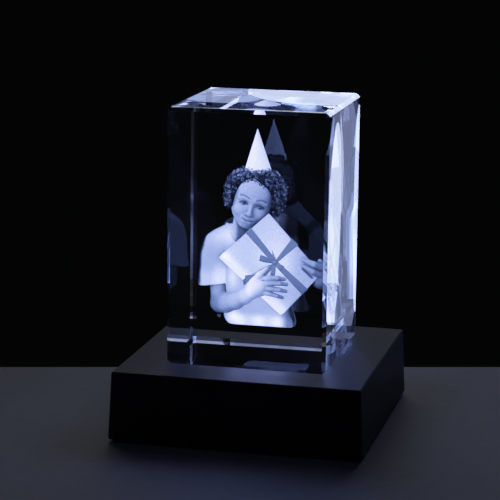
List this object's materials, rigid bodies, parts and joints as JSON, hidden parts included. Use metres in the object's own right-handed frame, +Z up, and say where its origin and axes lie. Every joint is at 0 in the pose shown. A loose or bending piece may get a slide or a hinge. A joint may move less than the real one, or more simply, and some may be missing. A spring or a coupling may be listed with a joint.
{
  "type": "crystal photo block",
  "caption": "Clear bevelled glass cuboid with a figure engraved inside, standing loose on a square black light base with a slide switch and a hinged battery door.",
  "frame": {"origin": "centre of the base's footprint, on the table under the rubber feet", "axes": "+Z up; the engraved picture and the block's front face look along -Y; +X is to the right of someone looking at the front"},
  "size_m": [0.079, 0.079, 0.102],
  "materials": {
    "crystal": "polished optical crystal with ground bevels",
    "engraving": "bluish-white laser points inside the crystal",
    "black_shell": "fine satin texture",
    "black_cover": "matt moulded",
    "frosted_window": "frosted diffuser, lit",
    "white_board": "white solder mask",
    "lamp": "surface-mount lamp, lit",
    "resistor": "glazed chip",
    "screw_steel": "zinc plated",
    "foot_rubber": "matt",
    "cell_jacket": "plain sleeve with bare steel ends",
    "nickel_strip": "nickel plated spring steel",
    "switch_can": "pressed tinplate",
    "knob_black": "moulded with grip lines",
    "terminal_brass": "tinned brass tags",
    "wire_red": "insulated stranded wire",
    "wire_black": "insulated stranded wire"
  },
  "bodies": {
    "base": {"base_housing": "black_shell", "light_window": "frosted_window", "led_board": "white_board", "leds": "lamp", "led_resistors": "resistor", "board_screws": "screw_steel", "base_cover": "black_cover", "cover_screws": "screw_steel", "rubber_feet": "foot_rubber", "battery_cells": "cell_jacket", "contact_plates": "nickel_strip", "contact_springs": "nickel_strip", "switch_body": "switch_can", "switch_terminals": "terminal_brass", "wire_positive": "wire_red", "wire_lead": "wire_red", "wire_negative": "wire_black"},
    "crystal": {"crystal_block": "crystal", "engraved_figure": "engraving", "engraved_gift": "engraving"},
    "knob": {"switch_knob": "knob_black"},
    "door": {"battery_door": "black_cover"}
  },
  "joints": [
    {"name": "block_lift", "type": "slide", "parent": "base", "child": "crystal", "axis": [0, 0, 1], "range_m": [0, 0.04]},
    {"name": "switch_slide", "type": "slide", "parent": "base", "child": "knob", "axis": [1, 0, 0], "range_m": [-0.004, 0]},
    {"name": "door_hinge", "type": "hinge", "parent": "base", "child": "door", "pos_m": [-0.03, 0, 0.0023], "axis": [0, 1, 0], "range_deg": [0, 90]}
  ]
}
